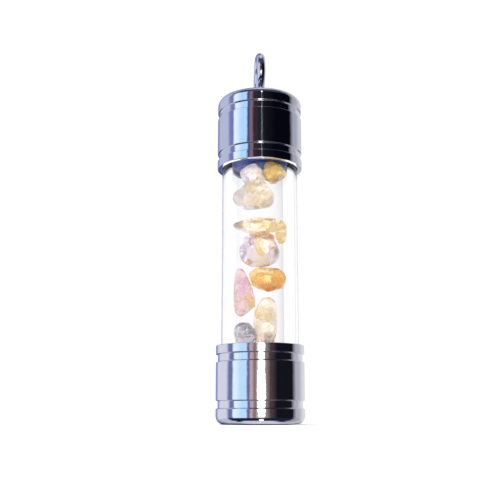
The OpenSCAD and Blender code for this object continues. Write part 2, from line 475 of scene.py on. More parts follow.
@dataclass(frozen=True)
class PlatedFinish:
    """Mirror plating over turned metal."""

    name: str
    tint: tuple[float, float, float]
    base_roughness: float = 0.03
    ripple_height: float = 0.012 * MM
    lathe_height: float = 0.002 * MM

    def make(self, effects: SharedEffects) -> bpy.types.Material:
        """Builds the material.

        Args:
            effects: the shared node groups.

        Returns:
            The material.
        """
        material, graph, shader = new_material(self.name)
        marks = graph.add("ShaderNodeGroup", node_tree=effects.turned)
        set_inputs(graph, marks, {"Pitch": 11.0, "Drift": 0.12})
        handled = graph.add("ShaderNodeGroup", node_tree=effects.handled)
        set_inputs(graph, handled, {"Base": self.base_roughness, "Smear": 0.05, "Rub": 0.08})
        lathe = graph.bump(marks.outputs["Height"], 0.25, self.lathe_height)
        place = millimetres(graph)
        ripple = graph.noise(place, 0.9, detail=2)
        ripples = graph.bump(ripple, 1.0, self.ripple_height, Normal=lathe)
        darker = tuple(0.94 * c for c in self.tint)
        shade = graph.mix(graph.noise(place, 0.6), colour(self.tint), colour(darker))
        set_inputs(graph, shader, {
            "Base Color": shade, "Metallic": 1.0, "Roughness": handled.outputs["Roughness"],
            "Normal": ripples,
        })
        return material


@dataclass(frozen=True)
class GlassFinish:
    """Clear borosilicate tube, with a faint greyer tint on its inner wall, painted shade that dims the view
    through the bore.
    """

    name: str = "vial_glass"
    refraction: float = 1.474
    inner_radius: float = 5.2
    bore_painted_shade: tuple[float, float, float] = (0.95, 0.945, 0.965)
    clean: tuple[float, float, float] = (0.985, 0.992, 1.0)
    straight_tint: tuple[float, float, float] = (0.97, 0.98, 1.0)

    def make(self, effects: SharedEffects) -> bpy.types.Material:
        """Builds the material: plain glass that lets light straight through to what is inside.

        Args:
            effects: the shared node groups.

        Returns:
            The material.
        """
        material, graph, shader = new_material(self.name)
        handled = graph.add("ShaderNodeGroup", node_tree=effects.handled)
        set_inputs(graph, handled, {"Base": 0.0, "Smear": 0.012, "Rub": 0.02})
        flat = graph.vector("MULTIPLY", millimetres(graph), (1, 1, 0))
        radius = graph.vector("LENGTH", flat, output="Value")
        # Inside the bore's radius the glass takes a faint greyer tint: painted shade.
        inside = graph.math("LESS_THAN", radius, self.inner_radius)
        set_inputs(graph, shader, {
            "Base Color": graph.mix(inside, colour(self.clean), colour(self.bore_painted_shade)), "Metallic": 0.0,
            "Transmission Weight": 1.0, "IOR": self.refraction, "Roughness": handled.outputs["Roughness"],
        })
        let_light_through(graph, shader, self.straight_tint)
        return material


@dataclass(frozen=True)
class QuartzFinish:
    """A tumbled quartz chip with its own colours and colour zone."""

    name: str
    pale: tuple[float, float, float]
    deep: tuple[float, float, float]
    milk: tuple[float, float, float]
    fleck: tuple[float, float, float] = (0.90, 0.66, 0.22)
    vein: tuple[float, float, float] = (0.74, 0.44, 0.17)
    toward: tuple[float, float, float] = (0.0, 0.0, 1.0)
    zone_shift: float = 0.0
    zone_width: float = 4.0
    veil: float = 0.5
    flecks: float = 0.3
    veins: float = 0.3
    clarity: float = 0.88
    roughness: float = 0.06
    relief: float = 0.10 * MM
    refraction: float = 1.54

    def make(self, effects: SharedEffects, centre: Vector) -> bpy.types.Material:
        """Builds the material.

        The colour zone grows along the direction toward, from the chip's centre. Light on its
        way to what lies inside a chip goes straight through.

        Args:
            effects: the shared node groups.
            centre: the chip's centre, in metres.

        Returns:
            The material.
        """
        material, graph, shader = new_material(self.name)
        place = graph.add("ShaderNodeTexCoord").outputs["Object"]
        from_centre = graph.vector("SUBTRACT", place, tuple(centre))
        heading = tuple(Vector(self.toward).normalized() / (self.zone_width * MM))
        along = graph.vector("DOT_PRODUCT", from_centre, heading, output="Value")
        zone = graph.math("ADD", along, 0.5 + self.zone_shift)
        body = graph.add("ShaderNodeGroup", node_tree=effects.quartz)
        set_inputs(graph, body, {
            "Zone": zone, "Pale": colour(self.pale), "Deep": colour(self.deep), "Milk": colour(self.milk),
            "Fleck": colour(self.fleck), "Vein": colour(self.vein), "Veil": self.veil, "Flecks": self.flecks,
            "Veins": self.veins,
        })
        rough = graph.math("MULTIPLY_ADD", body.outputs["Milkiness"], 0.30, self.roughness)
        dented = graph.bump(body.outputs["Height"], 0.6, self.relief)
        set_inputs(graph, shader, {
            "Base Color": body.outputs["Colour"], "Metallic": 0.0, "Roughness": rough,
            "Transmission Weight": self.clarity, "IOR": self.refraction, "Normal": dented,
        })
        let_light_through(graph, shader, self.pale)
        return material


@dataclass(frozen=True)
class InclusionFinish:
    """A mineral film or a fracture inside a chip, broken into small patches, whose colour also glows as
    painted light.
    """

    name: str
    base: tuple[float, float, float]
    second: tuple[float, float, float]
    cover: float = 0.5
    grain: float = 1.5
    painted_glow: float = 0.30
    relief: float = 0.15 * MM

    def make(self) -> bpy.types.Material:
        """Builds the material: two tones in crumpled patches, with clear gaps between them, and a painted
        glow in the same tones.
        """
        material, graph, shader = new_material(self.name)
        place = millimetres(graph)
        crumple = graph.noise(place, 2.6, detail=4)
        dented = graph.bump(crumple, 0.9, self.relief)
        shade = graph.mix(graph.remap(crumple, 0.36, 0.66), colour(self.base), colour(self.second))
        cloud = graph.noise(place, self.grain, detail=6, rough=0.68)
        edge = 0.5 + 0.35 * (0.5 - self.cover)
        # The emission is painted light: the patches glow in their own tones though no lamp lights them.
        set_inputs(graph, shader, {
            "Base Color": shade, "Emission Color": shade, "Emission Strength": self.painted_glow,
            "Roughness": graph.math("MULTIPLY_ADD", crumple, 0.2, 0.25), "Normal": dented,
            "Alpha": graph.remap(cloud, edge - 0.11, edge + 0.13, 0.0, 0.90),
        })
        return material


@dataclass(frozen=True)
class PlainFinish:
    """Plastic with a painted reflection in its colour, rubber, cork, brass or cured adhesive, told apart by
    its numbers.
    """

    name: str
    base: tuple[float, float, float]
    second: tuple[float, float, float]
    roughness: float
    metallic: float = 0.0
    clarity: float = 0.0
    grain: float = 3.0
    grain_height: float = 0.01 * MM
    shine: float = 0.5

    def make(self, effects: SharedEffects) -> bpy.types.Material:
        """Builds the material: two tones over a fine grain, with handling marks in its roughness.

        Args:
            effects: the shared node groups.

        Returns:
            The material.
        """
        material, graph, shader = new_material(self.name)
        handled = graph.add("ShaderNodeGroup", node_tree=effects.handled)
        set_inputs(graph, handled, {"Base": self.roughness, "Smear": 0.08, "Rub": 0.08})
        grain = graph.noise(millimetres(graph), self.grain, detail=4)
        dented = graph.bump(grain, 0.4, self.grain_height)
        shade = graph.mix(graph.remap(grain, 0.35, 0.65), colour(self.base), colour(self.second))
        set_inputs(graph, shader, {
            "Base Color": shade, "Metallic": self.metallic, "Roughness": handled.outputs["Roughness"],
            "Transmission Weight": self.clarity, "Normal": dented, "Specular IOR Level": self.shine,
        })
        return material


def dress(piece: bpy.types.Object, material: bpy.types.Material) -> None:
    """Puts one material on every slot of a piece."""
    if not piece.data.materials:
        piece.data.materials.append(material)
    for slot in piece.material_slots:
        slot.material = material


# --------------------------------------------------------------------------- pieces


@dataclass
class TurnedCap:
    """One plated cap: a cup with two grooves, a rounded end and a socket for the glass."""

    node: str
    slot: str
    body: Body
    rim_z: float
    end_z: float
    socket_end_z: float
    hole_radius: float = 0.0
    outer_radius: float = 6.8 * MM
    socket_radius: float = 6.1 * MM
    end_round: float = 1.2 * MM
    rim_band: float = 1.35 * MM
    groove_width: float = 1.17 * MM
    groove_depth: float = 0.3 * MM
    end_band: float = 2.35 * MM
    edge_round: float = 0.07 * MM
    rim_chamfer: float = 0.07 * MM

    def profile(self) -> np.ndarray:
        """The cap's section, in the radius and height plane, with the rim at height 0 and the end up."""
        length = abs(self.end_z - self.rim_z)
        socket = abs(self.socket_end_z - self.rim_z)
        groove_r = self.outer_radius - self.groove_depth
        end_groove = length - self.end_band - self.groove_width
        outside = [Corner(self.outer_radius - self.rim_chamfer, 0, 0.04 * MM)]
        outside.append(Corner(self.outer_radius, self.rim_chamfer, 0.05 * MM))
        for low in (self.rim_band, end_groove):
            high = low + self.groove_width
            outside += [
                Corner(self.outer_radius, low - 0.04 * MM, self.edge_round),
                Corner(groove_r, low + 0.06 * MM, self.edge_round),
                Corner(groove_r, high - 0.06 * MM, self.edge_round),
                Corner(self.outer_radius, high + 0.04 * MM, self.edge_round),
            ]
        outside.append(Corner(self.outer_radius, length, self.end_round))
        inside = [Corner(self.socket_radius, socket, 0.05 * MM), Corner(self.socket_radius, 0, 0.05 * MM)]
        if self.hole_radius:
            hole = [Corner(self.hole_radius, length, 0.05 * MM), Corner(self.hole_radius, socket, 0.02 * MM)]
            return rounded_profile(outside + hole + inside, closed=True, arc_steps=10)
        path = [Corner(0, socket), *inside, *outside, Corner(0, length)]
        return rounded_profile(path, closed=False, arc_steps=10)

    def build(self, material: bpy.types.Material) -> bpy.types.Object:
        """Makes the cap and puts it in the place of its CAD node.

        Args:
            material: the plating.

        Returns:
            The cap.
        """
        path = self.profile()
        if self.end_z > self.rim_z:
            path[:, 1] += self.rim_z
        else:
            path[:, 1] = self.rim_z - path[:, 1]
            path = path[::-1]
        grid = revolve(path)
        skin = Skin()
        skin.add_rings(grid, wraps=self.hole_radius > 0)
        piece = skin.build(self.node + "_turned")
        finish_piece(piece, self.node, self.body, material)
        return piece


def finish_piece(
    piece: bpy.types.Object, node: str, body: Body, material: bpy.types.Material
) -> None:
    """Dresses a new piece, gives it its body, and lets it stand for its CAD node.

    Args:
        piece: the new object.
        node: the CAD node that it stands for.
        body: the body that it rides on.
        material: its finish.
    """
    dress(piece, material)
    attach(piece, body.value)
    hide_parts(node)
    log.info("%s: %d faces, rides on %s", piece.name, len(piece.data.polygons), body.value)


@dataclass
class GlassVial:
    """The closed-bottomed glass tube, with fire-polished edges."""

    outer_radius: float
    bore_radius: float
    bottom_z: float
    top_z: float
    floor_thickness: float = GLASS_WALL

    def build(self, material: bpy.types.Material) -> bpy.types.Object:
        """Makes the vial.

        Args:
            material: the glass.

        Returns:
            The vial.
        """
        wall = self.outer_radius - self.bore_radius
        floor_z = self.bottom_z + self.floor_thickness
        path = rounded_profile([
            Corner(0, self.bottom_z),
            Corner(self.outer_radius, self.bottom_z, 0.9 * MM),
            Corner(self.outer_radius, self.top_z, 0.3 * wall),
            Corner(self.bore_radius, self.top_z, 0.3 * wall),
            Corner(self.bore_radius, floor_z, 0.8 * MM),
            Corner(0, floor_z),
        ], closed=False, arc_steps=12)
        skin = Skin()
        skin.add_rings(revolve(path))
        piece = skin.build("glass_tube")
        finish_piece(piece, "glass_vial", Body.VIAL, material)
        return piece


@dataclass
class HangingEye:
    """The wire ring on its stem, with the collar that sits on the cap and the shank inside it."""

    ring_centre_z: float
    cap_end_z: float
    shank_low_z: float
    ring_radius: float = 2.9 * MM
    wire_radius: float = 0.72 * MM
    collar_radius: float = 1.6 * MM
    collar_height: float = 0.4 * MM
    shank_radius: float = 1.0 * MM
    turn: float = math.radians(5.4)

    def ring(self, along: int = 192, round_wire: int = 48) -> np.ndarray:
        """A torus in the upright plane that is turned from the YZ plane by the eye's turn.

        Along the ring by the angle a, and round the wire by b, the distance from the ring's
        centre is R + r cos b, and the distance from the ring's plane is r sin b.
        """
        a = np.linspace(0, 2 * np.pi, along, endpoint=False)[:, None]
        b = np.linspace(0, 2 * np.pi, round_wire, endpoint=False)[None, :]
        reach = self.ring_radius + self.wire_radius * np.cos(b)
        side = self.wire_radius * np.sin(b) + 0 * a
        out = reach * np.cos(a)
        up = reach * np.sin(a) + self.ring_centre_z
        x = -out * math.sin(self.turn) + side * math.cos(self.turn)
        y = out * math.cos(self.turn) + side * math.sin(self.turn)
        return np.stack([x, y, up], axis=2)

    def stem(self) -> np.ndarray:
        """The turned stem: shank, collar and a neck that flares into the ring."""
        top = self.ring_centre_z - self.ring_radius
        neck = self.wire_radius * 0.9
        collar_top = self.cap_end_z + self.collar_height
        path = rounded_profile([
            Corner(0, self.shank_low_z),
            Corner(self.shank_radius, self.shank_low_z, 0.2 * MM),
            Corner(self.shank_radius, self.cap_end_z, 0.03 * MM),
            Corner(self.collar_radius, self.cap_end_z, 0.05 * MM),
            Corner(self.collar_radius, collar_top, 0.14 * MM),
            Corner(neck, collar_top, 0.16 * MM),
            Corner(neck, top - 0.2 * MM, 0.3 * MM),
            Corner(0.6 * neck, top, 0.1 * MM),
            Corner(0, top),
        ], closed=False)
        return revolve(path, around=96)

    def build(self, material: bpy.types.Material) -> bpy.types.Object:
        """Makes the eye.

        Args:
            material: the plating.

        Returns:
            The eye.
        """
        skin = Skin()
        skin.add_rings(self.ring(), wraps=True)
        skin.add_rings(self.stem())
        piece = skin.build("hanging_eye_ring")
        finish_piece(piece, "hanging_eye", Body.EYE, material)
        return piece


class Mineral(Enum):
    """What an inclusion is made of, or the painted highlight that it stands for."""

    GOLD = InclusionFinish("inclusion_gold", (0.78, 0.62, 0.24), (0.95, 0.86, 0.58), cover=0.42, painted_glow=0.20)
    HONEY = InclusionFinish(
        "inclusion_honey", (0.82, 0.60, 0.14), (0.96, 0.84, 0.44), cover=0.6, grain=1.1, painted_glow=0.15)
    RUST = InclusionFinish(
        "inclusion_rust", (0.68, 0.32, 0.10), (0.88, 0.58, 0.28), cover=0.65, grain=1.1, painted_glow=0.08)
    # Painted highlight: near-white patches with a strong glow, set where the chips catch the light.
    PAINTED_HIGHLIGHT = InclusionFinish("inclusion_painted_highlight", (0.99, 0.97, 0.93), (1.0, 1.0, 1.0), cover=0.45, painted_glow=0.7)
    MAUVE = InclusionFinish("inclusion_mauve", (0.62, 0.47, 0.60), (0.84, 0.75, 0.84), cover=0.45, painted_glow=0.15)
    SMOKE = InclusionFinish("inclusion_smoke", (0.40, 0.35, 0.33), (0.62, 0.56, 0.52), cover=0.4, painted_glow=0.05)


@dataclass(frozen=True)
class Inclusion:
    """A crumpled lens inside a chip.

    Its place and half sizes are fractions of the chip's half sizes, and it is turned by an angle in
    the upright plane that faces the front.
    """

    mineral: Mineral
    at: tuple[float, float, float]
    half: tuple[float, float, float]
    tilt: float = 0.0


@dataclass(frozen=True)
class Lobe:
    """One convex part of a chip: the points of its CAD solid that lie beyond a plane along one axis."""

    axis: int = 2
    beyond: float = -1.0


@dataclass
class QuartzChip:
    """One tumbled chip, worked out from the CAD solid that holds its place."""

    number: int
    finish: QuartzFinish
    inclusions: tuple[Inclusion, ...] = ()
    lobes: tuple[Lobe, ...] = (Lobe(),)
    flats: int = 64
    edge_sharpness: float = 34.0
    wear: float = 0.09
    fill: float = 0.995
    bore_reach: float = 4.43 * MM
    rows: int = 88
    around: int = 128

    def surface(self, solid: np.ndarray, seed: int) -> np.ndarray:
        """One lobe's skin as a soft crossing of half spaces.

        The distance from the centre c in the direction d is the p-norm
        (sum over k of (max(0, n_k . d) / h_k) ^ p) ^ (-1 / p), where n_k are directions spread
        over the sphere, h_k is how far the CAD solid reaches along n_k, less a little wear, and
        p is the sharpness of the edges. Low waves of the angle then dent the skin inwards, and
        each axis is stretched until the skin fills the solid's box.

        Args:
            solid: the lobe's CAD points.
            seed: the seed of its wear and waves.

        Returns:
            The grid of points.
        """
        centre = 0.5 * (solid.min(axis=0) + solid.max(axis=0))
        rng = np.random.default_rng(seed)
        k = np.arange(self.flats) + 0.5
        tilt = np.arccos(1 - 2 * k / self.flats)
        spin = np.pi * (1 + 5 ** 0.5) * k
        normals = np.stack([np.sin(tilt) * np.cos(spin), np.sin(tilt) * np.sin(spin), np.cos(tilt)], axis=1)
        normals += rng.normal(0, 0.05, normals.shape)
        normals /= np.linalg.norm(normals, axis=1, keepdims=True)
        reach = ((solid - centre) @ normals.T).max(axis=0)
        reach *= 1 - self.wear * rng.random(self.flats) ** 2
        facing = sphere_directions(self.rows, self.around)
        press = np.maximum(0, facing @ normals.T) / reach
        scale = press.max(axis=2, keepdims=True)
        total = ((press / scale) ** self.edge_sharpness).sum(axis=2)
        radius = 1 / (scale[..., 0] * total ** (1 / self.edge_sharpness))
        waves = np.zeros_like(radius)
        for _ in range(7):
            heading = rng.normal(0, 1, 3)
            heading *= rng.uniform(2.0, 6.5) / np.linalg.norm(heading)
            waves += np.sin(facing @ heading + rng.uniform(0, 6.28)) / np.linalg.norm(heading)
        radius *= 1.0 - 0.035 * (waves - waves.min()) / (waves.max() - waves.min())
        grid = facing * radius[..., None]
        low, high = grid.min(axis=(0, 1)), grid.max(axis=(0, 1))
        fill = self.fill * (solid.max(axis=0) - solid.min(axis=0)) / (high - low)
        grid = centre + (grid - 0.5 * (low + high)) * fill
        out = np.hypot(grid[..., 0], grid[..., 1])
        grid[..., :2] *= np.minimum(1, self.bore_reach / np.maximum(out, 1e-9))[..., None]
        return grid

    def lens(self, inclusion: Inclusion, centre: np.ndarray, half: np.ndarray, seed: int) -> np.ndarray:
        """An inclusion's skin: an ellipsoid whose radius ripples with the angle.

        Args:
            inclusion: its place and size.
            centre: the chip's centre.
            half: the chip's half sizes.
            seed: the seed of the ripples.

        Returns:
            The grid of points.
        """
        rng = np.random.default_rng(seed)
        facing = sphere_directions(rows=32, around=48)
        ripple = np.zeros(facing.shape[:2])
        for _ in range(6):
            ripple += np.sin(facing @ rng.normal(0, 3.2, 3) + rng.uniform(0, 6.28)) / 6
        grid = facing * (1 + 0.45 * ripple)[..., None] * np.array(inclusion.half) * half
        turn = math.radians(inclusion.tilt)
        x, z = grid[..., 0].copy(), grid[..., 2].copy()
        grid[..., 0] = x * math.cos(turn) - z * math.sin(turn)
        grid[..., 2] = x * math.sin(turn) + z * math.cos(turn)
        return grid + centre + np.array(inclusion.at) * half

    def build(self, effects: SharedEffects, minerals: dict[Mineral, bpy.types.Material]) -> None:
        """Makes the chip and its inclusions.

        Args:
            effects: the shared node groups.
            minerals: the inclusions' materials.
        """
        points = node_points(f"stone_{self.number}")
        skin = Skin()
        for i, lobe in enumerate(self.lobes):
            solid = points[points[:, lobe.axis] > lobe.beyond]
            skin.add_rings(self.surface(solid, 70 + self.number + 100 * i))
        centre = 0.5 * (points.min(axis=0) + points.max(axis=0))
        half = 0.5 * (points.max(axis=0) - points.min(axis=0))
        piece = skin.build(f"quartz_chip_{self.number}")
        material = self.finish.make(effects, Vector(centre))
        finish_piece(piece, f"stone_{self.number}", Body.VIAL, material)
        for i, inclusion in enumerate(self.inclusions):
            inner = Skin()
            inner.add_rings(self.lens(inclusion, centre, half, 900 + 10 * self.number + i))
            fleck = inner.build(f"inclusion_{self.number}_{i + 1}")
            dress(fleck, minerals[inclusion.mineral])
            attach(fleck, Body.VIAL.value)
            log.info("%s: %s inside chip %d", fleck.name, inclusion.mineral.name, self.number)


def chip_set() -> list[QuartzChip]:
    """The ten chips from the mouth of the vial down to its floor."""
    gold, amber, straw = (0.88, 0.68, 0.22), (0.84, 0.40, 0.06), (0.98, 0.87, 0.52)
    clear, peach, rose = (0.96, 0.92, 0.90), (0.96, 0.84, 0.70), (0.88, 0.62, 0.66)
    milk, lilac, smoke = (0.96, 0.93, 0.92), (0.86, 0.80, 0.90), (0.60, 0.56, 0.62)
    beige, honey, sand = (0.90, 0.80, 0.66), (0.92, 0.72, 0.30), (0.93, 0.84, 0.64)
    return [
        QuartzChip(1, QuartzFinish(
            "quartz_amber_top", honey, gold, milk, toward=(1, 0, 1), zone_shift=0.3,
            veil=0.2, flecks=0.7, veins=0.4,
        ), (Inclusion(Mineral.HONEY, (0.0, -0.1, 0.2), (0.75, 0.5, 0.5), -20),
            Inclusion(Mineral.SMOKE, (0.15, 0.1, -0.55), (0.6, 0.4, 0.15), 35))),
        QuartzChip(2, QuartzFinish(
            "quartz_milky", clear, peach, milk, toward=(1, 0, 0), zone_shift=-0.2,
            veil=0.6, flecks=0.4, clarity=0.8,
        ), (Inclusion(Mineral.PAINTED_HIGHLIGHT, (-0.1, -0.1, -0.1), (0.3, 0.3, 0.35), -20),
            Inclusion(Mineral.GOLD, (0.45, -0.1, 0.0), (0.30, 0.4, 0.6)),
            Inclusion(Mineral.MAUVE, (-0.5, 0.0, 0.2), (0.30, 0.4, 0.5)))),
        QuartzChip(3, QuartzFinish(
            "quartz_peach_flecked", lilac, beige, milk, toward=(1, 0, -0.1), zone_shift=0.35,
            zone_width=4.5, veil=0.45,
            flecks=0.9, veins=0.3, clarity=0.8,
        ), (Inclusion(Mineral.GOLD, (0.0, -0.3, 0.1), (0.30, 0.3, 0.75), -10),
            Inclusion(Mineral.GOLD, (0.35, -0.3, -0.25), (0.40, 0.3, 0.40), 20),
            Inclusion(Mineral.PAINTED_HIGHLIGHT, (0.35, 0.1, 0.3), (0.35, 0.3, 0.45), 30))),
        QuartzChip(4, QuartzFinish(
            "quartz_yellow_shard", lilac, straw, milk, toward=(1, 0, 0), zone_shift=0.55,
            veil=0.2, flecks=0.8,
            veins=0.5, clarity=0.88,
        ), (Inclusion(Mineral.PAINTED_HIGHLIGHT, (-0.10, -0.2, 0.30), (0.38, 0.4, 0.30), 0),
            Inclusion(Mineral.HONEY, (0.30, 0.0, 0.42), (0.40, 0.4, 0.22), -12),
            Inclusion(Mineral.HONEY, (0.80, 0.1, -0.45), (0.14, 0.3, 0.42), 6),
            Inclusion(Mineral.SMOKE, (-0.72, 0.0, 0.25), (0.20, 0.3, 0.12), 10)),
            lobes=(Lobe(2, 29.7 * MM), Lobe(0, 2.4 * MM))),
        # Chip 5's rust arc, honey teardrop and mauve patch are painted reflection of its neighbours seen
        # through it, and its white patch is a painted highlight.
        QuartzChip(5, QuartzFinish(
            "quartz_round_clear", lilac, beige, milk, toward=(1, 0, 0.2), zone_shift=0.2,
            zone_width=3.0, veil=0.25,
            flecks=0.4, veins=0.3, clarity=0.9,
        ), (Inclusion(Mineral.RUST, (0.14, -0.2, 0.74), (0.62, 0.5, 0.22), -8),
            Inclusion(Mineral.HONEY, (0.05, -0.2, 0.05), (0.22, 0.3, 0.42), 12),
            Inclusion(Mineral.PAINTED_HIGHLIGHT, (0.22, -0.40, 0.10), (0.16, 0.2, 0.34), 20),
            Inclusion(Mineral.MAUVE, (-0.50, 0.0, 0.35), (0.35, 0.4, 0.40), 20))),
        QuartzChip(6, QuartzFinish(
            "quartz_orange", honey, amber, milk, toward=(0.3, 0, -1), zone_shift=0.15,
            zone_width=3.0, veil=0.08,
            flecks=0.6, veins=0.6, clarity=0.88,
        ), (Inclusion(Mineral.PAINTED_HIGHLIGHT, (-0.05, -0.45, -0.02), (0.22, 0.2, 0.24)),
            Inclusion(Mineral.HONEY, (-0.45, -0.1, -0.1), (0.40, 0.4, 0.50)),
            Inclusion(Mineral.RUST, (0.15, 0.0, -0.60), (0.70, 0.5, 0.22)),
            Inclusion(Mineral.HONEY, (0.60, 0.0, 0.1), (0.30, 0.5, 0.5)),
            Inclusion(Mineral.SMOKE, (0.1, -0.1, 0.6), (0.55, 0.4, 0.12), -10))),
        QuartzChip(7, QuartzFinish(
            "quartz_rose", rose, peach, milk, toward=(1, 0, -0.5), zone_shift=-0.15,
            veil=0.35, flecks=0.5, veins=0.5,
            vein=(0.62, 0.28, 0.30), clarity=0.8,
        ), (Inclusion(Mineral.HONEY, (0.50, -0.1, -0.35), (0.32, 0.4, 0.30), 30),
            Inclusion(Mineral.MAUVE, (-0.15, 0.0, 0.25), (0.50, 0.4, 0.55), 6),
            Inclusion(Mineral.MAUVE, (-0.25, 0.0, -0.55), (0.40, 0.4, 0.25), 10))),
        QuartzChip(8, QuartzFinish(
            "quartz_beige", beige, sand, milk, toward=(-0.4, 0, 1),
            zone_shift=-0.25, veil=0.5, flecks=0.6, veins=0.3,
            clarity=0.84,
        ), (Inclusion(Mineral.PAINTED_HIGHLIGHT, (0.10, -0.30, -0.14), (0.36, 0.3, 0.17), -10),
            Inclusion(Mineral.GOLD, (-0.1, 0.1, 0.35), (0.45, 0.4, 0.24), 25),
            Inclusion(Mineral.SMOKE, (0.3, 0.1, -0.6), (0.5, 0.4, 0.20), -30))),
        QuartzChip(9, QuartzFinish(
            "quartz_grey_lilac", smoke, lilac, milk, toward=(0, 0, -1),
            veil=0.45, flecks=0.1, veins=0.2, clarity=0.82,
        ), (Inclusion(Mineral.SMOKE, (0.0, 0.0, 0.3), (0.7, 0.5, 0.30), 8),)),
        QuartzChip(10, QuartzFinish("quartz_floor", peach, honey, milk, veil=0.4)),
    ]


@dataclass
class Closure:
    """The hidden working pieces: bushing, plug, gasket, eye fastening, pad and adhesive films."""

    # Painted reflection: the plug and bushing's dark navy stands in for the dark reflection on their faces,
    # and their low shine keeps them from mirroring the white room.
    moulded: PlainFinish = PlainFinish(
        "plug_plastic", (0.022, 0.045, 0.22), (0.028, 0.055, 0.25), 0.34, grain=2.0, grain_height=0.002 * MM,
        shine=0.03)
    rubber: PlainFinish = PlainFinish(
        "gasket_rubber", (0.03, 0.03, 0.035), (0.045, 0.045, 0.05), 0.6, grain=6.0)
    brass: PlainFinish = PlainFinish(
        "fastener_brass", (0.80, 0.62, 0.30), (0.74, 0.55, 0.25), 0.22, metallic=1.0, grain=5.0,
        grain_height=0.003 * MM)
    cork: PlainFinish = PlainFinish(
        "pad_cork", (0.60, 0.43, 0.26), (0.47, 0.32, 0.18), 0.85, grain=9.0, grain_height=0.05 * MM)
    glue: PlainFinish = PlainFinish(
        "adhesive", (0.97, 0.96, 0.93), (0.95, 0.94, 0.90), 0.04, clarity=0.97, grain=2.0)
    nodes: dict[str, str] = field(default_factory=lambda: {
        "neck_bushing": "moulded", "cap_plug": "moulded", "cap_gasket": "rubber", "eye_washer": "brass",
        "eye_nut": "brass", "base_pad": "cork", "bottom_bond": "glue", "bushing_bond": "glue",
    })

    def dress(self, effects: SharedEffects) -> None:
        """Gives each CAD node that stays its finish.

        Args:
            effects: the shared node groups.
        """
        made = {kind: getattr(self, kind).make(effects) for kind in sorted(set(self.nodes.values()))}
        for node, kind in self.nodes.items():
            dress(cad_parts[node], made[kind])
            log.info("%s: CAD node dressed in %s", node, kind)


# --------------------------------------------------------------------------- studio


@dataclass(frozen=True)
class Card:
    """An upright card or light round the table, which the plating and the glass mirror.

    It stands from one azimuth to another, 0 in front and growing to the right, and its colour near
    the table's height fades to another colour further up. Neighbouring cards blend across their gap.
    """

    name: str
    start: float
    stop: float
    low: tuple[float, float, float]
    high: tuple[float, float, float]


CARDS = (
    Card("violet curtain", -180, -164, (0.12, 0.13, 0.34), (0.12, 0.13, 0.34)),
    Card("violet edge", -158, -147, (0.30, 0.32, 0.54), (0.27, 0.28, 0.52)),
    Card("lilac card", -137, -97, (0.67, 0.67, 0.77), (0.46, 0.50, 0.66)),
    Card("violet gap", -87, -77, (0.15, 0.17, 0.37), (0.19, 0.20, 0.44)),
    Card("window", -72, -66, (0.75, 0.91, 1.00), (0.80, 0.90, 1.00)),
    Card("sky in the window", -50, -36, (0.52, 0.74, 0.98), (0.46, 0.71, 0.99)),
    Card("window frame", -32, -28, (0.16, 0.15, 0.30), (0.06, 0.08, 0.19)),
    Card("bench", -26, -20, (0.50, 0.37, 0.40), (0.20, 0.14, 0.19)),
    Card("bench leg", -16, -12, (0.27, 0.17, 0.16), (0.05, 0.018, 0.026)),
    Card("lamp shade on the left", -9.5, -7.0, (0.44, 0.38, 0.37), (0.035, 0.022, 0.030)),
    Card("lamp glow", -4.0, 10.0, (0.80, 0.76, 0.74), (0.018, 0.020, 0.028)),
    Card("lamp shade on the right", 13.5, 17.0, (0.26, 0.21, 0.20), (0.008, 0.008, 0.012)),
    Card("dim wall", 26, 30, (0.06, 0.045, 0.045), (0.005, 0.005, 0.009)),
    Card("black flag", 44, 90, (0.007, 0.007, 0.011), (0.002, 0.002, 0.005)),
    Card("grey card", 104, 116, (0.44, 0.43, 0.50), (0.38, 0.38, 0.44)),
    Card("pale curtain", 138, 179, (0.70, 0.69, 0.72), (0.60, 0.60, 0.64)),
)


